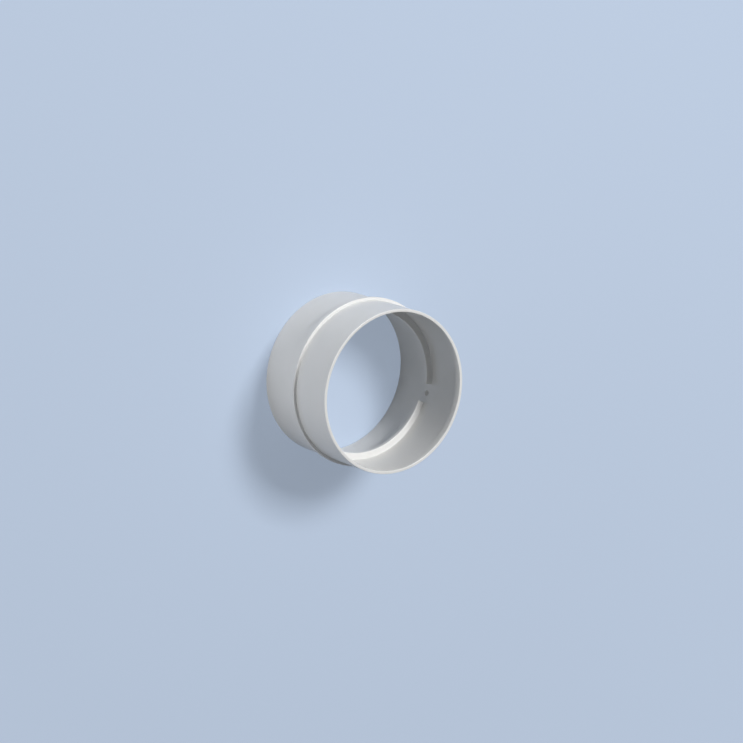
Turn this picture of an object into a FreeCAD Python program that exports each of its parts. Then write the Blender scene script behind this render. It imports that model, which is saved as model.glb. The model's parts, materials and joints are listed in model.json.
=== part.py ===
# Round duct connector, moulded in one piece and standing on its lower end.
# Two plain spigots push into the ends of two ducts, and a collar around the outside stops the
# ducts. Inside, two half rings and two small sockets can seat a flap: one half ring stops it
# from above and the other from below, and its spindle turns in the sockets between their ends.
import FreeCAD, Part
import os
import Sketcher

NODE = "duct_connector"
FOLDER = "parts"

# Driving dimensions in millimetres: name, value, what it sets
SIZES = (
    ("spigot_diameter", 99.6, "outside of both spigots, 0.2 mm clear all round in a 100 mm duct"),
    ("spigot_length", 30.0, "each spigot, from the collar to its rim"),
    ("collar_width", 3.0, "collar, along the axis"),
    ("collar_height", 1.9, "collar above the spigots, about the wall of a duct"),
    ("upper_wall", 1.8, "wall of the upper spigot and behind the half rings"),
    ("lower_wall", 1.3, "wall of the lower spigot"),
    ("stop_width", 2.8, "half rings, along the axis"),
    ("stop_height", 4.2, "half rings, from the upper bore inwards"),
    ("stop_gap", 12.0, "between the ends of the half rings, where they meet the bore"),
    ("flap_room", 0.5, "between the facing sides of the half rings, along the axis"),
    ("socket_diameter", 3.8, "mouth of the sockets, in the bore"),
    ("socket_tip", 1.3, "bottom of the sockets, across"),
    ("socket_depth", 2.6, "sockets, from the upper bore outwards, into the collar"),
    ("socket_lead", 0.5, "how far the sockets' taper is drawn on into the open bore, to cut cleanly"),
    ("rim_round", 0.3, "rounding of the rims' outer edges and of the upper rim's inner edge"),
    ("foot_width", 0.3, "flat ring left on the lower rim, which the connector stands on"),
    ("collar_round", 0.4, "rounding of the collar's outer edges"),
    ("root_round", 0.3, "hollow rounding where the collar meets the spigots"),
    ("stop_round", 0.4, "rounding of the half rings' inner edges"),
    ("stop_root_round", 0.4, "hollow rounding where the half rings meet the bores"),
)

# Sizes that follow from the driving ones, as the sheet's own formulas
OUTSIDE = "Sizes.spigot_diameter / 2"
UPPER_BORE = "Sizes.spigot_diameter / 2 - Sizes.upper_wall"
SPINDLE_HEIGHT = "Sizes.spigot_length + Sizes.collar_width / 2"
STOP_REACH = "Sizes.flap_room / 2 + Sizes.stop_width"
SOCKET_TAPER = "(Sizes.socket_diameter - Sizes.socket_tip) / 2 / Sizes.socket_depth"
MOUTH_RADIUS = "Sizes.socket_diameter / 2 + %s * Sizes.socket_lead" % SOCKET_TAPER

# Corners of the wall's half section, in order around it
(LOWER_OUTER, COLLAR_LOWER_ROOT, COLLAR_LOWER, COLLAR_UPPER, COLLAR_UPPER_ROOT, UPPER_OUTER,
 UPPER_INNER, UPPER_STEP, LOWER_STEP, LOWER_INNER) = range(10)

# Corners of a half ring's section
STOP_LOWER, STOP_LOWER_ROOT, STOP_UPPER_ROOT, STOP_UPPER = range(4)

# Corners of the sockets' half section, which runs from one socket across to the other
TIP_LEFT, TIP_RIGHT, TIP_RIGHT_EDGE, MOUTH_RIGHT, MOUTH_LEFT, TIP_LEFT_EDGE = range(6)

ACROSS = "DistanceX"
ALONG = "DistanceY"
# How a sketch constraint names a line's ends, the sketch's own axes and its origin
START_POINT, END_POINT = 1, 2
LEVEL_AXIS, UPRIGHT_AXIS = -1, -2
SKETCH_ORIGIN = (LEVEL_AXIS, START_POINT)

MATCH = 1e-4              # how closely an edge has to lie at the asked radius and height


def make_sheet(document):
    """Keep the driving dimensions in a spreadsheet, one named cell each."""
    sheet = document.addObject("Spreadsheet::Sheet", "Sizes")
    for row, (name, value, meaning) in enumerate(SIZES, start=1):
        sheet.set("A%d" % row, name)
        sheet.set("B%d" % row, str(value))
        sheet.set("C%d" % row, meaning)
        sheet.setAlias("B%d" % row, name)
    document.recompute()
    return sheet


def wall_corners(sheet):
    """Radius and height of every corner of the wall's half section, before it is rounded."""
    outside = sheet.spigot_diameter / 2
    collar = outside + sheet.collar_height
    upper_bore = outside - sheet.upper_wall
    lower_bore = outside - sheet.lower_wall
    collar_bottom = sheet.spigot_length
    collar_top = collar_bottom + sheet.collar_width
    top = collar_top + sheet.spigot_length
    step = stop_corners(sheet)[STOP_LOWER][1]
    return {
        LOWER_OUTER: (outside, 0.0),
        COLLAR_LOWER_ROOT: (outside, collar_bottom),
        COLLAR_LOWER: (collar, collar_bottom),
        COLLAR_UPPER: (collar, collar_top),
        COLLAR_UPPER_ROOT: (outside, collar_top),
        UPPER_OUTER: (outside, top),
        UPPER_INNER: (upper_bore, top),
        UPPER_STEP: (upper_bore, step),
        LOWER_STEP: (lower_bore, step),
        LOWER_INNER: (lower_bore, 0.0),
    }


def stop_corners(sheet):
    """Radius and height of the corners of the lower half ring's section, which starts in the wall."""
    in_wall = sheet.spigot_diameter / 2 - sheet.lower_wall / 2
    inside = sheet.spigot_diameter / 2 - sheet.upper_wall - sheet.stop_height
    upper = sheet.spigot_length + sheet.collar_width / 2 - sheet.flap_room / 2
    lower = upper - sheet.stop_width
    return {
        STOP_LOWER: (inside, lower),
        STOP_LOWER_ROOT: (in_wall, lower),
        STOP_UPPER_ROOT: (in_wall, upper),
        STOP_UPPER: (inside, upper),
    }


def socket_corners(sheet):
    """Corners of the sockets' half section, from the middle of the spindle's line."""
    upper_bore = sheet.spigot_diameter / 2 - sheet.upper_wall
    tip = upper_bore + sheet.socket_depth
    mouth = upper_bore - sheet.socket_lead
    taper = (sheet.socket_diameter - sheet.socket_tip) / 2 / sheet.socket_depth
    mouth_radius = sheet.socket_diameter / 2 + taper * sheet.socket_lead
    return {
        TIP_LEFT: (-tip, 0.0),
        TIP_RIGHT: (tip, 0.0),
        TIP_RIGHT_EDGE: (tip, sheet.socket_tip / 2),
        MOUTH_RIGHT: (mouth, mouth_radius),
        MOUTH_LEFT: (-mouth, mouth_radius),
        TIP_LEFT_EDGE: (-tip, sheet.socket_tip / 2),
    }


def origin_plane(body, role):
    """The body's own origin plane with this role."""
    for feature in body.Origin.OriginFeatures:
        if feature.Role == role:
            return feature
    raise RuntimeError("the body has no " + role)


def start_sketch(body, name, role, corners):
    """Draw a closed outline on an origin plane: each line starts at its own corner."""
    sketch = body.newObject("Sketcher::SketchObject", name)
    sketch.AttachmentSupport = (origin_plane(body, role), "")
    sketch.MapMode = "FlatFace"
    points = [FreeCAD.Vector(*corners[corner], 0) for corner in sorted(corners)]
    for point, following in zip(points, points[1:] + points[:1]):
        sketch.addGeometry(Part.LineSegment(point, following), False)
    last = len(points) - 1
    for line in range(len(points)):
        following = 0 if line == last else line + 1
        sketch.addConstraint(Sketcher.Constraint("Coincident", line, END_POINT, following, START_POINT))
    return sketch


def set_directions(sketch, level_lines, upright_lines):
    """Keep some of a sketch's lines level and some upright."""
    for line in level_lines:
        sketch.addConstraint(Sketcher.Constraint("Horizontal", line))
    for line in upright_lines:
        sketch.addConstraint(Sketcher.Constraint("Vertical", line))


def set_sizes(document, sketch, corners, sizes):
    """Add named dimensions between corners, bind them to the sheet and test that nothing is loose."""
    for name, direction, first, second, expression in sizes:
        side = 0 if direction == ACROSS else 1
        start = SKETCH_ORIGIN if first is None else (first, START_POINT)
        near = 0.0 if first is None else corners[first][side]
        value = corners[second][side] - near
        index = sketch.addConstraint(
            Sketcher.Constraint(direction, *start, second, START_POINT, value))
        sketch.renameConstraint(index, name)
        sketch.setExpression("Constraints." + name, expression)
    document.recompute()
    if not sketch.FullyConstrained:
        raise RuntimeError(sketch.Name + " isn't fully constrained")
    sketch.Visibility = False


def draw_wall(document, body, corners):
    """Half section of the two spigots and the collar."""
    sketch = start_sketch(body, "WallSection", "XZ_Plane", corners)
    set_directions(
        sketch,
        (COLLAR_LOWER_ROOT, COLLAR_UPPER, UPPER_OUTER, UPPER_STEP, LOWER_INNER),
        (LOWER_OUTER, COLLAR_LOWER, COLLAR_UPPER_ROOT, UPPER_INNER, LOWER_STEP))
    # It stands on the level axis, and the spigots share one outside
    sketch.addConstraint(Sketcher.Constraint("PointOnObject", LOWER_OUTER, START_POINT, LEVEL_AXIS))
    sketch.addConstraint(Sketcher.Constraint(
        "Vertical", LOWER_OUTER, START_POINT, COLLAR_UPPER_ROOT, START_POINT))
    set_sizes(document, sketch, corners, (
        ("OutsideRadius", ACROSS, None, LOWER_OUTER, OUTSIDE),
        ("LowerSpigot", ALONG, LOWER_OUTER, COLLAR_LOWER_ROOT, "Sizes.spigot_length"),
        ("UpperSpigot", ALONG, COLLAR_UPPER_ROOT, UPPER_OUTER, "Sizes.spigot_length"),
        ("CollarWidth", ALONG, COLLAR_LOWER, COLLAR_UPPER, "Sizes.collar_width"),
        ("CollarHeight", ACROSS, COLLAR_LOWER_ROOT, COLLAR_LOWER, "Sizes.collar_height"),
        ("UpperWall", ACROSS, UPPER_INNER, UPPER_OUTER, "Sizes.upper_wall"),
        ("LowerWall", ACROSS, LOWER_INNER, LOWER_OUTER, "Sizes.lower_wall"),
        ("StepHeight", ALONG, None, LOWER_STEP, "%s - (%s)" % (SPINDLE_HEIGHT, STOP_REACH)),
    ))
    return sketch


def draw_stop(document, body, corners):
    """Section of the lower half ring."""
    sketch = start_sketch(body, "StopSection", "XZ_Plane", corners)
    set_directions(sketch, (STOP_LOWER, STOP_UPPER_ROOT), (STOP_LOWER_ROOT, STOP_UPPER))
    set_sizes(document, sketch, corners, (
        ("InWall", ACROSS, None, STOP_LOWER_ROOT, OUTSIDE + " - Sizes.lower_wall / 2"),
        ("StopRadius", ACROSS, None, STOP_LOWER, UPPER_BORE + " - Sizes.stop_height"),
        ("StopBottom", ALONG, None, STOP_LOWER, "%s - (%s)" % (SPINDLE_HEIGHT, STOP_REACH)),
        ("StopWidth", ALONG, STOP_LOWER, STOP_UPPER, "Sizes.stop_width"),
    ))
    return sketch


def draw_sockets(document, body, corners):
    """Half section of both sockets, on the spindle's line at the middle of the collar."""
    sketch = start_sketch(body, "SocketSection", "YZ_Plane", corners)
    sketch.setExpression(".AttachmentOffset.Base.y", SPINDLE_HEIGHT)
    set_directions(sketch, (), (TIP_RIGHT,))
    sketch.addConstraint(Sketcher.Constraint("PointOnObject", TIP_LEFT, START_POINT, LEVEL_AXIS))
    for left, right in ((TIP_LEFT, TIP_RIGHT), (TIP_LEFT_EDGE, TIP_RIGHT_EDGE), (MOUTH_LEFT, MOUTH_RIGHT)):
        sketch.addConstraint(Sketcher.Constraint(
            "Symmetric", left, START_POINT, right, START_POINT, UPRIGHT_AXIS))
    set_sizes(document, sketch, corners, (
        ("TipReach", ACROSS, None, TIP_RIGHT, UPPER_BORE + " + Sizes.socket_depth"),
        ("TipRadius", ALONG, TIP_RIGHT, TIP_RIGHT_EDGE, "Sizes.socket_tip / 2"),
        ("MouthReach", ACROSS, None, MOUTH_RIGHT, UPPER_BORE + " - Sizes.socket_lead"),
        ("MouthRadius", ALONG, None, MOUTH_RIGHT, MOUTH_RADIUS),
    ))
    return sketch


def ring_edges(shape, rings):
    """Names of the circular edges of the shape at these radii and heights."""
    names = []
    for radius, height in rings:
        found = []
        for number, edge in enumerate(shape.Edges, start=1):
            curve = edge.Curve
            if not isinstance(curve, Part.Circle):
                continue
            if abs(curve.Radius - radius) < MATCH and abs(curve.Center.z - height) < MATCH:
                found.append("Edge%d" % number)
        if not found:
            raise RuntimeError("no edge to round at radius %g and height %g" % (radius, height))
        names.extend(found)
    return names


def round_edges(document, body, name, rings, expression):
    """Round the circular edges at some radii and heights with one radius from the sheet."""
    base = body.Tip
    edges = ring_edges(base.Shape, rings)
    fillet = body.newObject("PartDesign::Fillet", name)
    fillet.Base = (base, edges)
    fillet.setExpression("Radius", expression)
    document.recompute()


def turn_wall(document, body, sheet):
    """Turn the wall about the upright axis, and round its rims and its collar."""
    corners = wall_corners(sheet)
    sketch = draw_wall(document, body, corners)
    wall = body.newObject("PartDesign::Revolution", "Wall")
    wall.Profile = sketch
    wall.ReferenceAxis = (sketch, ["V_Axis"])
    wall.Angle = 360.0
    document.recompute()
    rounds = (
        ("RimRounds", (LOWER_OUTER, UPPER_OUTER, UPPER_INNER), "Sizes.rim_round"),
        ("LowerMouth", (LOWER_INNER,), "Sizes.lower_wall - Sizes.rim_round - Sizes.foot_width"),
        ("CollarRounds", (COLLAR_LOWER, COLLAR_UPPER), "Sizes.collar_round"),
        ("CollarRoots", (COLLAR_LOWER_ROOT, COLLAR_UPPER_ROOT), "Sizes.root_round"),
    )
    for name, at, expression in rounds:
        round_edges(document, body, name, [corners[corner] for corner in at], expression)


def add_stops(document, body, sheet, spindle):
    """Turn the lower half ring part of the way, and turn a copy half way round the spindle's line."""
    corners = stop_corners(sheet)
    sketch = draw_stop(document, body, corners)
    lower = body.newObject("PartDesign::Revolution", "LowerStop")
    lower.Profile = sketch
    lower.ReferenceAxis = (sketch, ["V_Axis"])
    lower.Midplane = True
    lower.setExpression("Angle", "180 deg - 2 * asin(Sizes.stop_gap / 2 / (%s))" % UPPER_BORE)
    document.recompute()

    both = body.newObject("PartDesign::PolarPattern", "BothStops")
    both.Originals = [lower]
    both.Axis = (spindle, ["H_Axis"])
    both.Angle = 360.0
    both.Occurrences = 2
    body.Tip = both
    document.recompute()

    inside = corners[STOP_LOWER][0]
    upper_bore = sheet.spigot_diameter / 2 - sheet.upper_wall
    lower_bore = sheet.spigot_diameter / 2 - sheet.lower_wall
    bottom = corners[STOP_LOWER][1]
    middle = corners[STOP_UPPER][1]
    length = 2 * sheet.spigot_length + sheet.collar_width
    round_edges(
        document, body, "StopRounds",
        [(inside, height) for height in (bottom, middle, length - middle, length - bottom)],
        "Sizes.stop_round")
    round_edges(
        document, body, "StopRoots",
        [(lower_bore, bottom), (upper_bore, middle), (upper_bore, length - middle),
         (upper_bore, length - bottom)],
        "Sizes.stop_root_round")


def cut_sockets(document, body, spindle):
    """Sink the two sockets from inside the bore, tapered as the pins that mould them."""
    before = body.Tip.Shape.Volume
    sockets = body.newObject("PartDesign::Groove", "Sockets")
    sockets.Profile = spindle
    sockets.ReferenceAxis = (spindle, ["H_Axis"])
    sockets.Angle = 360.0
    document.recompute()
    if sockets.Shape.Volume >= before:
        raise RuntimeError("the sockets cut nothing")


def make_connector(document, sheet):
    """Wall first, then the half rings inside it, then the sockets between their ends."""
    body = document.addObject("PartDesign::Body", "Connector")
    body.Label = NODE
    turn_wall(document, body, sheet)
    spindle = draw_sockets(document, body, socket_corners(sheet))
    add_stops(document, body, sheet, spindle)
    cut_sockets(document, body, spindle)
    return body


def check_document(document, body):
    """Stop if any object failed, or if the connector isn't one sound solid."""
    for item in document.Objects:
        if "Invalid" in item.State or "Error" in item.State:
            raise RuntimeError("%s failed: %s" % (item.Name, item.State))
    shape = body.Shape
    if shape.isNull() or not shape.isValid() or len(shape.Solids) != 1:
        raise RuntimeError(body.Label + " isn't one valid solid")


def main():
    document = FreeCAD.newDocument("DuctConnector")
    sheet = make_sheet(document)
    connector = make_connector(document, sheet)
    document.recompute()
    check_document(document, connector)
    os.makedirs(FOLDER, exist_ok=True)
    connector.Shape.exportStep(os.path.join(FOLDER, connector.Label + ".step"))


main()
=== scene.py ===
"""Round duct connector, dressed: a white connector moulded in one piece stands on its lower end."""

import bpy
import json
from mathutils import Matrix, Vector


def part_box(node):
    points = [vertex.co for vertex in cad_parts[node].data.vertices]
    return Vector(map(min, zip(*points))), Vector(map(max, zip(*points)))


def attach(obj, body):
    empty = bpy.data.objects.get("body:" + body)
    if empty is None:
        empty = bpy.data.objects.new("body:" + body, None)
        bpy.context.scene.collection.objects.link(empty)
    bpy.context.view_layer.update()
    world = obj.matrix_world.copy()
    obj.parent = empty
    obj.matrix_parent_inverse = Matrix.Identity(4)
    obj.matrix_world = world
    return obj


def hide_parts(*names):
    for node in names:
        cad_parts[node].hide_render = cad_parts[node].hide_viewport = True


bl_info = {
    "name": "Duct Connector",
    "version": (1, 0, 0),
    "blender": (4, 5, 0),
    "location": "3D View > Sidebar > Duct Connector",
    "description": "Moulds a round duct connector around its CAD frame and sets a studio for it",
    "category": "Object",
}

import json
import math

import bmesh
import bpy
from mathutils import Matrix, Quaternion, Vector

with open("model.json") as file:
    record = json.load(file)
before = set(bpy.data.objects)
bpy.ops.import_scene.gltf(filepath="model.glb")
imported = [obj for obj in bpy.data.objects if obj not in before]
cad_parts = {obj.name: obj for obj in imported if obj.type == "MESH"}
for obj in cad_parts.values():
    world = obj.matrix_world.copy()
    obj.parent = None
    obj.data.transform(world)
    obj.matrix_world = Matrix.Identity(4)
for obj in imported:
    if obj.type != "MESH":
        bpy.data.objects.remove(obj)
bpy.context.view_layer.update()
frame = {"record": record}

MM = 0.001
MERGE = 0.005 * MM        # points nearer than this are one point
UPPER_WALL = 1.8 * MM     # thickness of the upper spigot's wall
PIN_LEAD = 0.65 * MM      # how far inside the bore the socket pins start
QUARTER = math.pi / 2
PLASTIC_IOR = 1.53        # typical of ABS
EVEN_DEPTH = (1.0, 1.0, 1.0)    # light of every colour goes equally deep into the plastic
CLOUD_DETAIL = 3.0        # layers of finer noise in the colour's clouds
FINE_DETAIL = 2.0         # the same in the strokes and the grain
WAVE_DETAIL = 1.0         # the same in the shallow waves
PAPER_ROUGHNESS = 0.9
FLOOR_SIDES = 96
NODE = "duct_connector"
BODY = "root"

NODE_LOW, NODE_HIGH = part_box(NODE)
MOUNTS = {mount["name"]: mount for mount in frame["record"]["mounts"]}


def mount_radius(name):
    """Radius of one of the frame's round mounts, in metres."""
    return MOUNTS[name]["dims"]["r_mm"] * MM


def mount_height(name):
    """Height of one of the frame's mounts, in metres."""
    return MOUNTS[name]["pos_m"][2]


def linear(code):
    """Turn an sRGB hex colour into linear red, green and blue."""
    channels = [int(code[start:start + 2], 16) / 255 for start in (1, 3, 5)]
    return tuple(
        value / 12.92 if value <= 0.04045 else ((value + 0.055) / 1.055) ** 2.4 for value in channels)


class ConnectorSizes(bpy.types.PropertyGroup):
    """Sizes of the connector's wall section."""

    spigot_radius: bpy.props.FloatProperty(
        name="Spigot radius", description="Outside of both spigots",
        default=mount_radius("upper_spigot"), unit="LENGTH")
    upper_bore: bpy.props.FloatProperty(
        name="Upper bore", description="Inside radius of the upper spigot",
        default=mount_radius("upper_spigot") - UPPER_WALL, unit="LENGTH")
    lower_bore: bpy.props.FloatProperty(
        name="Lower bore", description="Inside radius of the lower spigot",
        default=mount_radius("lower_bore"), unit="LENGTH")
    collar_radius: bpy.props.FloatProperty(
        name="Collar radius", description="Outside of the collar",
        default=NODE_HIGH.x, unit="LENGTH")
    collar_bottom: bpy.props.FloatProperty(
        name="Collar bottom", description="Height of the collar's lower face",
        default=mount_height("lower_shoulder"), unit="LENGTH")
    collar_top: bpy.props.FloatProperty(
        name="Collar top", description="Height of the collar's upper face",
        default=mount_height("upper_shoulder"), unit="LENGTH")
    length: bpy.props.FloatProperty(
        name="Length", description="Height of the upper rim",
        default=NODE_HIGH.z, unit="LENGTH")
    stop_width: bpy.props.FloatProperty(
        name="Stop width", description="Half rings, along the axis",
        default=2.8 * MM, unit="LENGTH")
    stop_height: bpy.props.FloatProperty(
        name="Stop height", description="Half rings, from the upper bore inwards",
        default=4.2 * MM, unit="LENGTH")
    stop_gap: bpy.props.FloatProperty(
        name="Stop gap", description="Between the half rings' ends, where they meet the bore",
        default=12.0 * MM, unit="LENGTH")
    flap_room: bpy.props.FloatProperty(
        name="Flap room", description="Between the half rings' facing sides, along the axis",
        default=0.5 * MM, unit="LENGTH")
    socket_diameter: bpy.props.FloatProperty(
        name="Socket diameter", description="Mouth of the sockets, in the bore",
        default=3.8 * MM, unit="LENGTH")
    socket_tip: bpy.props.FloatProperty(
        name="Socket tip", description="Bottom of the sockets, across",
        default=1.3 * MM, unit="LENGTH")
    socket_depth: bpy.props.FloatProperty(
        name="Socket depth", description="Sockets, from the upper bore outwards",
        default=2.6 * MM, unit="LENGTH")
    rim_round: bpy.props.FloatProperty(
        name="Rim rounding", description="Rounding of the rims' edges",
        default=0.3 * MM, unit="LENGTH")
    foot_width: bpy.props.FloatProperty(
        name="Foot width", description="Flat ring on the lower rim that the connector stands on",
        default=0.3 * MM, unit="LENGTH")
    collar_round: bpy.props.FloatProperty(
        name="Collar rounding", description="Rounding of the collar's outer edges",
        default=0.4 * MM, unit="LENGTH")
    root_round: bpy.props.FloatProperty(
        name="Root rounding", description="Hollow rounding where the collar meets the spigots",
        default=0.3 * MM, unit="LENGTH")
    stop_round: bpy.props.FloatProperty(
        name="Stop rounding", description="Rounding of the half rings' inner edges",
        default=0.4 * MM, unit="LENGTH")
    stop_root_round: bpy.props.FloatProperty(
        name="Stop root rounding", description="Hollow rounding where the half rings meet the bores",
        default=0.4 * MM, unit="LENGTH")
    steps: bpy.props.IntProperty(
        name="Steps", description="Faces around the connector", default=288, min=24)
    round_steps: bpy.props.IntProperty(
        name="Rounding steps", description="Faces across each rounding", default=6, min=1)
    socket_steps: bpy.props.IntProperty(
        name="Socket steps", description="Faces around each socket", default=48, min=8)
    sharp_angle: bpy.props.FloatProperty(
        name="Sharp angle", description="Edges that turn more than this are shaded as sharp",
        default=math.radians(40), subtype="ANGLE")


class PlasticFinish(bpy.types.PropertyGroup):
    """Colour and surface of the moulded plastic."""

    colour: bpy.props.FloatVectorProperty(
        name="Colour", description="Colour of the plastic",
        default=linear("#EBEAE8"), subtype="COLOR", min=0, max=1)
    cloud_colour: bpy.props.FloatVectorProperty(
        name="Cloud colour", description="Colour where the pigment lies a little thinner",
        default=linear("#E4E4E2"), subtype="COLOR", min=0, max=1)
    cloud_size: bpy.props.FloatProperty(
        name="Cloud size", description="Width of the clouds in the colour",
        default=18 * MM, unit="LENGTH")
    depth: bpy.props.FloatProperty(
        name="Depth", description="How deep light goes into the plastic before it comes out again",
        default=0.6 * MM, unit="LENGTH")
    smooth_gloss: bpy.props.FloatProperty(
        name="Smooth gloss", description="Roughness where the mould was polished best",
        default=0.27, min=0, max=1, subtype="FACTOR")
    dull_gloss: bpy.props.FloatProperty(
        name="Dull gloss", description="Roughness along the polisher's strokes",
        default=0.35, min=0, max=1, subtype="FACTOR")
    stroke_width: bpy.props.FloatProperty(
        name="Stroke width", description="Width of the polisher's strokes, drawn coarse enough to show",
        default=0.6 * MM, unit="LENGTH")
    stroke_length: bpy.props.FloatProperty(
        name="Stroke length", description="Length of the polisher's strokes, along the axis",
        default=15 * MM, unit="LENGTH")
    wave_size: bpy.props.FloatProperty(
        name="Wave size", description="Width of the shallow waves that shrinking leaves in the wall",
        default=14 * MM, unit="LENGTH")
    wave_depth: bpy.props.FloatProperty(
        name="Wave depth", description="Depth of the shallow waves",
        default=0.02 * MM, unit="LENGTH")
    grain_size: bpy.props.FloatProperty(
        name="Grain size", description="Width of the mould's grain, drawn coarse enough to show",
        default=0.4 * MM, unit="LENGTH")
    grain_depth: bpy.props.FloatProperty(
        name="Grain depth", description="Depth of the mould's grain",
        default=0.001 * MM, unit="LENGTH")


class StudioStage(bpy.types.PropertyGroup):
    """Floor, lights and camera."""

    floor_colour: bpy.props.FloatVectorProperty(
        name="Floor colour", description="Colour of the floor and of the backdrop",
        default=linear("#BFCEE3"), subtype="COLOR", min=0, max=1)
    bounce_colour: bpy.props.FloatVectorProperty(
        name="Bounce colour", description="Colour of the light that the floor throws back",
        default=linear("#B4BCC8"), subtype="COLOR", min=0, max=1)
    shadow_lift: bpy.props.FloatProperty(
        name="Shadow lift", description="How much lighter the floor's shadow is to the camera",
        default=0.45, min=0, max=1, subtype="FACTOR")
    shadow_reach: bpy.props.FloatProperty(
        name="Shadow reach", description="How far from the connector the floor still takes shadows",
        default=0.25, unit="LENGTH")
    even_reach: bpy.props.FloatProperty(
        name="Even reach", description="How far from the connector the floor turns even",
        default=1.2, unit="LENGTH")
    floor_radius: bpy.props.FloatProperty(
        name="Floor radius", description="How far the floor reaches", default=6.0, unit="LENGTH")
    sky: bpy.props.FloatProperty(
        name="Sky", description="Strength of the even light from all around", default=0.13, min=0)
    key_power: bpy.props.FloatProperty(
        name="Key power", description="Large soft lamp overhead", default=49.0, unit="POWER")
    key_size: bpy.props.FloatProperty(
        name="Key size", description="Side of the lamp overhead", default=0.7, unit="LENGTH")
    key_azimuth: bpy.props.FloatProperty(
        name="Key azimuth", description="Where around the connector the lamp overhead is",
        default=math.radians(167.2), subtype="ANGLE")
    key_elevation: bpy.props.FloatProperty(
        name="Key elevation", description="How high the lamp overhead is",
        default=math.radians(59.3), subtype="ANGLE")
    key_distance: bpy.props.FloatProperty(
        name="Key distance", description="From the connector to the lamp overhead",
        default=2.4, unit="LENGTH")
    fill_power: bpy.props.FloatProperty(
        name="Fill power", description="Long low lamp beside the connector", default=12.0, unit="POWER")
    fill_width: bpy.props.FloatProperty(
        name="Fill width", description="Length of the low lamp", default=1.0, unit="LENGTH")
    fill_height: bpy.props.FloatProperty(
        name="Fill height", description="Height of the low lamp", default=0.14, unit="LENGTH")
    fill_azimuth: bpy.props.FloatProperty(
        name="Fill azimuth", description="Where around the connector the low lamp is",
        default=math.radians(-91.4), subtype="ANGLE")
    fill_elevation: bpy.props.FloatProperty(
        name="Fill elevation", description="How high the low lamp is",
        default=math.radians(2), subtype="ANGLE")
    fill_distance: bpy.props.FloatProperty(
        name="Fill distance", description="From the connector to the low lamp",
        default=2.0, unit="LENGTH")
    camera_lens: bpy.props.FloatProperty(
        name="Lens", description="Focal length", default=134.45, unit="CAMERA")
    camera_distance: bpy.props.FloatProperty(
        name="Camera distance", description="From the aim to the camera", default=1.6658, unit="LENGTH")
    camera_azimuth: bpy.props.FloatProperty(
        name="Camera azimuth", description="Where around the connector the camera is",
        default=math.radians(-96.4), subtype="ANGLE")
    camera_elevation: bpy.props.FloatProperty(
        name="Camera elevation", description="How far the camera looks down",
        default=math.radians(53.21), subtype="ANGLE")
    camera_roll: bpy.props.FloatProperty(
        name="Camera roll", description="How far the camera is turned about its view",
        default=math.radians(108.26), subtype="ANGLE")
    camera_aim: bpy.props.FloatVectorProperty(
        name="Camera aim", description="Point in the middle of the picture",
        default=(-6.96 * MM, 2.46 * MM, 32.75 * MM), subtype="XYZ")


def add_node(tree, kind, settings=(), links=()):
    """Add one shader node, set its values and link its inputs from other nodes' outputs."""
    node = tree.nodes.new(kind)
    for name, value in dict(settings).items():
        if name in node.inputs:
            node.inputs[name].default_value = value
        else:
            setattr(node, name, value)
    for name, source in dict(links).items():
        tree.links.new(source, node.inputs[name])
    return node


def new_material(name):
    """An empty material with its node tree."""
    material = bpy.data.materials.new(name)
    material.use_nodes = True
    material.node_tree.nodes.clear()
    return material, material.node_tree


def moulded_white_abs(finish):
    """White ABS, injection moulded between polished steel cores."""
    # To the eye it is a clean white with a soft gloss. Light goes a little way in, so edges and
    # shadows are soft; the pigment clouds very slightly; the polisher's strokes, along the axis,
    # dull the gloss in fine streaks; and shrinking leaves shallow waves in the walls.
    material, tree = new_material("moulded_white_abs")
    place = add_node(tree, "ShaderNodeTexCoord").outputs["Object"]
    clouds = add_node(
        tree, "ShaderNodeTexNoise", {"Scale": 1 / finish.cloud_size, "Detail": CLOUD_DETAIL},
        {"Vector": place})
    colour = add_node(
        tree, "ShaderNodeMix",
        {"data_type": "RGBA", "A": (*finish.colour, 1), "B": (*finish.cloud_colour, 1)},
        {"Factor": clouds.outputs["Fac"]})
    along = add_node(
        tree, "ShaderNodeMapping",
        {"Scale": (1 / finish.stroke_width, 1 / finish.stroke_width, 1 / finish.stroke_length)},
        {"Vector": place})
    strokes = add_node(
        tree, "ShaderNodeTexNoise", {"Scale": 1.0, "Detail": FINE_DETAIL},
        {"Vector": along.outputs["Vector"]})
    roughness = add_node(
        tree, "ShaderNodeMapRange", {"To Min": finish.smooth_gloss, "To Max": finish.dull_gloss},
        {"Value": strokes.outputs["Fac"]})
    waves = add_node(
        tree, "ShaderNodeTexNoise", {"Scale": 1 / finish.wave_size, "Detail": WAVE_DETAIL},
        {"Vector": place})
    wave_bump = add_node(
        tree, "ShaderNodeBump", {"Distance": finish.wave_depth}, {"Height": waves.outputs["Fac"]})
    grain = add_node(
        tree, "ShaderNodeTexNoise", {"Scale": 1 / finish.grain_size, "Detail": FINE_DETAIL},
        {"Vector": place})
    grain_bump = add_node(
        tree, "ShaderNodeBump", {"Distance": finish.grain_depth},
        {"Height": grain.outputs["Fac"], "Normal": wave_bump.outputs["Normal"]})
    shader = add_node(
        tree, "ShaderNodeBsdfPrincipled",
        {"IOR": PLASTIC_IOR, "Subsurface Weight": 1.0, "Subsurface Radius": EVEN_DEPTH,
         "Subsurface Scale": finish.depth},
        {"Base Color": colour.outputs["Result"], "Roughness": roughness.outputs["Result"],
         "Normal": grain_bump.outputs["Normal"]})
    add_node(tree, "ShaderNodeOutputMaterial", links={"Surface": shader.outputs["BSDF"]})
    return material


def spindle_height(sizes):
    """Height of the line through both sockets, at the middle of the collar."""
    return (sizes.collar_bottom + sizes.collar_top) / 2


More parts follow.
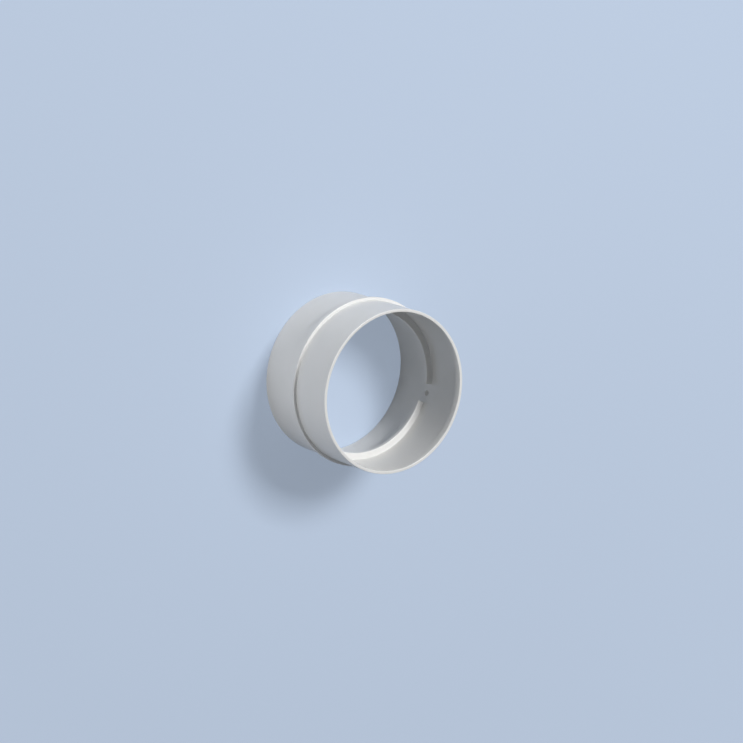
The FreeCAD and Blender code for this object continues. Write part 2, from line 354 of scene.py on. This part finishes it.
def wall_corners(sizes):
    """Corners of the half section from the lower rim, up the outside and into the upper bore."""
    # Each corner is a radius, a height and a rounding
    return (
        (sizes.spigot_radius, 0, sizes.rim_round),
        (sizes.spigot_radius, sizes.collar_bottom, sizes.root_round),
        (sizes.collar_radius, sizes.collar_bottom, sizes.collar_round),
        (sizes.collar_radius, sizes.collar_top, sizes.collar_round),
        (sizes.spigot_radius, sizes.collar_top, sizes.root_round),
        (sizes.spigot_radius, sizes.length, sizes.rim_round),
        (sizes.upper_bore, sizes.length, sizes.rim_round),
    )


def bore_sections(sizes):
    """Corners down the bore, with the lower half ring, with the upper one and with neither."""
    bore = sizes.upper_bore
    inside = bore - sizes.stop_height
    root = sizes.stop_root_round
    lower_top = spindle_height(sizes) - sizes.flap_room / 2
    lower_bottom = lower_top - sizes.stop_width
    upper_bottom = spindle_height(sizes) + sizes.flap_room / 2
    upper_top = upper_bottom + sizes.stop_width
    mouth_round = sizes.spigot_radius - sizes.rim_round - sizes.foot_width - sizes.lower_bore
    # Where one section has a rounding's end, its neighbours have a plain point, so that they join
    step = (
        (bore, lower_bottom, 0),
        (sizes.lower_bore, lower_bottom, root),
        (sizes.lower_bore, 0, mouth_round),
    )
    lower_stop = (
        (bore, upper_top + root, 0),
        (bore, lower_top, root),
        (inside, lower_top, sizes.stop_round),
        (inside, lower_bottom, sizes.stop_round),
        *step,
    )
    upper_stop = (
        (bore, upper_top, root),
        (inside, upper_top, sizes.stop_round),
        (inside, upper_bottom, sizes.stop_round),
        (bore, upper_bottom, root),
        *step,
    )
    plain = (
        (bore, upper_top + root, 0),
        (bore, lower_top + root, 0),
        (bore, upper_bottom - root, 0),
        *step,
    )
    return lower_stop, upper_stop, plain


def add_zone(shape, sizes, corners, start, span):
    """Draw a half section as one face, round its corners and spin its outline through a zone."""
    zone = bmesh.new()
    points = [zone.verts.new((radius, 0, height)) for radius, height, rounding in corners]
    zone.faces.new(points)
    for point, (radius, height, rounding) in zip(points, corners):
        if rounding:
            bmesh.ops.bevel(
                zone, geom=[point], offset=rounding, offset_type="OFFSET", affect="VERTICES",
                segments=sizes.round_steps, profile=0.5, material=-1)
    bmesh.ops.delete(zone, geom=zone.faces[:], context="FACES_ONLY")
    bmesh.ops.rotate(zone, verts=zone.verts[:], cent=(0, 0, 0), matrix=Matrix.Rotation(start, 3, "Z"))
    bmesh.ops.spin(
        zone, geom=zone.edges[:], cent=(0, 0, 0), axis=(0, 0, 1), angle=span,
        steps=round(sizes.steps * span / math.tau))
    mesh = bpy.data.meshes.new("zone")
    zone.to_mesh(mesh)
    zone.free()
    shape.from_mesh(mesh)
    bpy.data.meshes.remove(mesh)


def mould_wall(sizes):
    """Join the zones with the half rings and the plain zones between them, and close their ends."""
    lower_stop, upper_stop, plain = bore_sections(sizes)
    gap = 2 * math.asin(sizes.stop_gap / 2 / sizes.upper_bore)
    half = math.pi - gap
    zones = (
        (lower_stop, 0, half),
        (plain, QUARTER, gap),
        (upper_stop, math.pi, half),
        (plain, -QUARTER, gap),
    )
    shape = bmesh.new()
    for bore, middle, span in zones:
        add_zone(shape, sizes, wall_corners(sizes) + bore, middle - span / 2, span)
    bmesh.ops.remove_doubles(shape, verts=shape.verts[:], dist=MERGE)
    open_edges = [edge for edge in shape.edges if edge.is_boundary]
    bmesh.ops.holes_fill(shape, edges=open_edges)
    bmesh.ops.recalc_face_normals(shape, faces=shape.faces[:])
    if not all(edge.is_manifold for edge in shape.edges):
        raise RuntimeError("the connector's wall isn't closed")
    mesh = bpy.data.meshes.new("moulded_connector")
    shape.to_mesh(mesh)
    shape.free()
    return mesh


def socket_pins(sizes):
    """Tapered pins that mould the two sockets, from inside the bore outwards."""
    pins = bmesh.new()
    taper = (sizes.socket_diameter - sizes.socket_tip) / 2 / sizes.socket_depth
    # Each pin starts a little inside the bore, so that it breaks through the wall everywhere
    depth = sizes.socket_depth + PIN_LEAD
    reach = sizes.upper_bore - PIN_LEAD + depth / 2
    start_radius = sizes.socket_diameter / 2 + PIN_LEAD * taper
    for side in (-1, 1):
        place = Matrix.Translation((0, side * reach, spindle_height(sizes)))
        turn = Matrix.Rotation(-side * QUARTER, 4, "X")
        bmesh.ops.create_cone(
            pins, cap_ends=True, segments=sizes.socket_steps, radius1=start_radius,
            radius2=sizes.socket_tip / 2, depth=depth, matrix=place @ turn)
    mesh = bpy.data.meshes.new("socket_pins")
    pins.to_mesh(mesh)
    pins.free()
    return mesh


def cut_sockets(context, piece, pins):
    """Press the pins' shape out of the piece, and take the pins away again."""
    cutter = bpy.data.objects.new("socket_pins", pins)
    context.scene.collection.objects.link(cutter)
    cut = piece.modifiers.new("Sockets", "BOOLEAN")
    cut.operation = "DIFFERENCE"
    cut.solver = "EXACT"
    cut.object = cutter
    whole = piece.data
    evaluated = piece.evaluated_get(context.evaluated_depsgraph_get())
    piece.data = bpy.data.meshes.new_from_object(evaluated)
    piece.modifiers.remove(cut)
    bpy.data.meshes.remove(whole)
    bpy.data.objects.remove(cutter)
    bpy.data.meshes.remove(pins)


class DUCT_OT_connector(bpy.types.Operator):
    """Mould the connector's shell, with its collar, half rings and sockets"""

    bl_idname = "duct.connector"
    bl_label = "Connector"

    def execute(self, context):
        sizes = context.scene.connector_sizes
        piece = bpy.data.objects.new("moulded_connector", mould_wall(sizes))
        context.scene.collection.objects.link(piece)
        cut_sockets(context, piece, socket_pins(sizes))
        mesh = piece.data
        mesh.name = "moulded_connector"
        mesh.materials.clear()
        mesh.materials.append(moulded_white_abs(context.scene.plastic_finish))
        mesh.shade_smooth()
        mesh.set_sharp_from_angle(angle=sizes.sharp_angle)
        # Large faces rule the shading, so the flats stay flat beside their roundings
        shading = piece.modifiers.new("Even shading", "WEIGHTED_NORMAL")
        shading.keep_sharp = True
        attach(piece, BODY)
        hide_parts(NODE)
        return {"FINISHED"}


def background_ray(tree):
    """An output that is 1 where the floor or the world is only looked at, not taken as light."""
    path = add_node(tree, "ShaderNodeLightPath")
    seen = path.outputs["Is Camera Ray"]
    for name in ("Is Glossy Ray", "Is Transmission Ray"):
        seen = add_node(
            tree, "ShaderNodeMath", {"operation": "MAXIMUM"}, {0: seen, 1: path.outputs[name]}).outputs[0]
    return seen


def matt_paper_floor(stage):
    """Pale blue background paper, matt."""
    # To the eye it is an even pale ground with one soft shadow. Farther out it turns evenly bright,
    # so that it runs into the backdrop with no horizon.
    material, tree = new_material("matt_background_paper")
    place = add_node(tree, "ShaderNodeTexCoord").outputs["Object"]
    away = add_node(tree, "ShaderNodeVectorMath", {"operation": "LENGTH"}, {"Vector": place})
    lift = add_node(
        tree, "ShaderNodeMapRange",
        {"From Min": stage.shadow_reach, "From Max": stage.even_reach, "To Min": stage.shadow_lift},
        {"Value": away.outputs["Value"]})
    paper = add_node(
        tree, "ShaderNodeBsdfPrincipled",
        {"Base Color": (*stage.floor_colour, 1), "Roughness": PAPER_ROUGHNESS})
    even = add_node(
        tree, "ShaderNodeEmission", {"Color": (*stage.floor_colour, 1), "Strength": 1.0})
    seen = add_node(
        tree, "ShaderNodeMixShader",
        links={0: lift.outputs["Result"], 1: paper.outputs["BSDF"], 2: even.outputs["Emission"]})
    bounce = add_node(
        tree, "ShaderNodeBsdfPrincipled",
        {"Base Color": (*stage.bounce_colour, 1), "Roughness": PAPER_ROUGHNESS})
    floor = add_node(
        tree, "ShaderNodeMixShader",
        links={0: background_ray(tree), 1: bounce.outputs["BSDF"], 2: seen.outputs["Shader"]})
    add_node(tree, "ShaderNodeOutputMaterial", links={"Surface": floor.outputs["Shader"]})
    return material


def add_floor(scene, stage):
    """Lay the round floor under the connector."""
    shape = bmesh.new()
    bmesh.ops.create_circle(shape, cap_ends=True, radius=stage.floor_radius, segments=FLOOR_SIDES)
    mesh = bpy.data.meshes.new("floor")
    shape.to_mesh(mesh)
    shape.free()
    mesh.materials.append(matt_paper_floor(stage))
    floor = bpy.data.objects.new("floor", mesh)
    scene.collection.objects.link(floor)


def set_world(scene, stage):
    """Give an even soft light from all around, behind a backdrop of the floor's colour."""
    world = bpy.data.worlds.new("studio")
    world.use_nodes = True
    tree = world.node_tree
    tree.nodes.clear()
    light = add_node(tree, "ShaderNodeBackground", {"Color": (1, 1, 1, 1), "Strength": stage.sky})
    backdrop = add_node(
        tree, "ShaderNodeBackground", {"Color": (*stage.floor_colour, 1), "Strength": 1.0})
    mix = add_node(
        tree, "ShaderNodeMixShader",
        links={0: background_ray(tree), 1: light.outputs["Background"], 2: backdrop.outputs["Background"]})
    add_node(tree, "ShaderNodeOutputWorld", links={"Surface": mix.outputs["Shader"]})
    scene.world = world


def direction(azimuth, elevation):
    """Unit vector that points from the connector to these angles."""
    level = math.cos(elevation)
    return Vector((level * math.cos(azimuth), level * math.sin(azimuth), math.sin(elevation)))


def add_lamp(scene, name, power, width, height, towards, distance):
    """Add a soft lamp in a direction from the connector's middle, turned to face it."""
    lamp = bpy.data.lights.new(name, "AREA")
    lamp.energy = power
    lamp.shape = "RECTANGLE"
    lamp.size = width
    lamp.size_y = height
    holder = bpy.data.objects.new(name, lamp)
    holder.location = (NODE_LOW + NODE_HIGH) / 2 + towards * distance
    holder.rotation_euler = (-towards).to_track_quat("-Z", "Y").to_euler()
    holder.visible_camera = False
    scene.collection.objects.link(holder)


def add_camera(scene, stage):
    """Look down on the connector from its front, with the camera turned on its side."""
    camera = bpy.data.cameras.new("camera")
    camera.lens = stage.camera_lens
    holder = bpy.data.objects.new("camera", camera)
    towards = direction(stage.camera_azimuth, stage.camera_elevation)
    holder.location = Vector(stage.camera_aim) + towards * stage.camera_distance
    upright = (-towards).to_track_quat("-Z", "Y")
    roll = Quaternion((0, 0, 1), stage.camera_roll)
    holder.rotation_euler = (upright @ roll).to_euler()
    scene.collection.objects.link(holder)
    scene.camera = holder


class DUCT_OT_stage(bpy.types.Operator):
    """Set the floor, the lights and the camera"""

    bl_idname = "duct.stage"
    bl_label = "Stage"

    def execute(self, context):
        scene = context.scene
        stage = scene.studio_stage
        scene.view_settings.view_transform = "Standard"
        add_floor(scene, stage)
        set_world(scene, stage)
        add_lamp(
            scene, "key", stage.key_power, stage.key_size, stage.key_size,
            direction(stage.key_azimuth, stage.key_elevation), stage.key_distance)
        add_lamp(
            scene, "fill", stage.fill_power, stage.fill_width, stage.fill_height,
            direction(stage.fill_azimuth, stage.fill_elevation), stage.fill_distance)
        add_camera(scene, stage)
        return {"FINISHED"}


class DUCT_PT_panel(bpy.types.Panel):
    """Sizes, finish and stage of the duct connector"""

    bl_label = "Duct Connector"
    bl_space_type = "VIEW_3D"
    bl_region_type = "UI"
    bl_category = "Duct Connector"

    def draw(self, context):
        scene = context.scene
        parts = (
            (DUCT_OT_connector, (scene.connector_sizes, scene.plastic_finish)),
            (DUCT_OT_stage, (scene.studio_stage,)),
        )
        for operator, groups in parts:
            box = self.layout.box()
            box.operator(operator.bl_idname)
            for group in groups:
                for name in group.__annotations__:
                    box.prop(group, name)


CLASSES = (
    ConnectorSizes, PlasticFinish, StudioStage, DUCT_OT_connector, DUCT_OT_stage, DUCT_PT_panel)


def register():
    """Make the classes known to Blender, and give the scene their settings."""
    for item in CLASSES:
        bpy.utils.register_class(item)
    bpy.types.Scene.connector_sizes = bpy.props.PointerProperty(type=ConnectorSizes)
    bpy.types.Scene.plastic_finish = bpy.props.PointerProperty(type=PlasticFinish)
    bpy.types.Scene.studio_stage = bpy.props.PointerProperty(type=StudioStage)


def unregister():
    """Take the settings and the classes away again."""
    del bpy.types.Scene.studio_stage
    del bpy.types.Scene.plastic_finish
    del bpy.types.Scene.connector_sizes
    for item in reversed(CLASSES):
        bpy.utils.unregister_class(item)


def main():
    """Build the connector and its stage."""
    register()
    bpy.ops.duct.connector()
    bpy.ops.duct.stage()


if __name__ == "__main__":
    main()
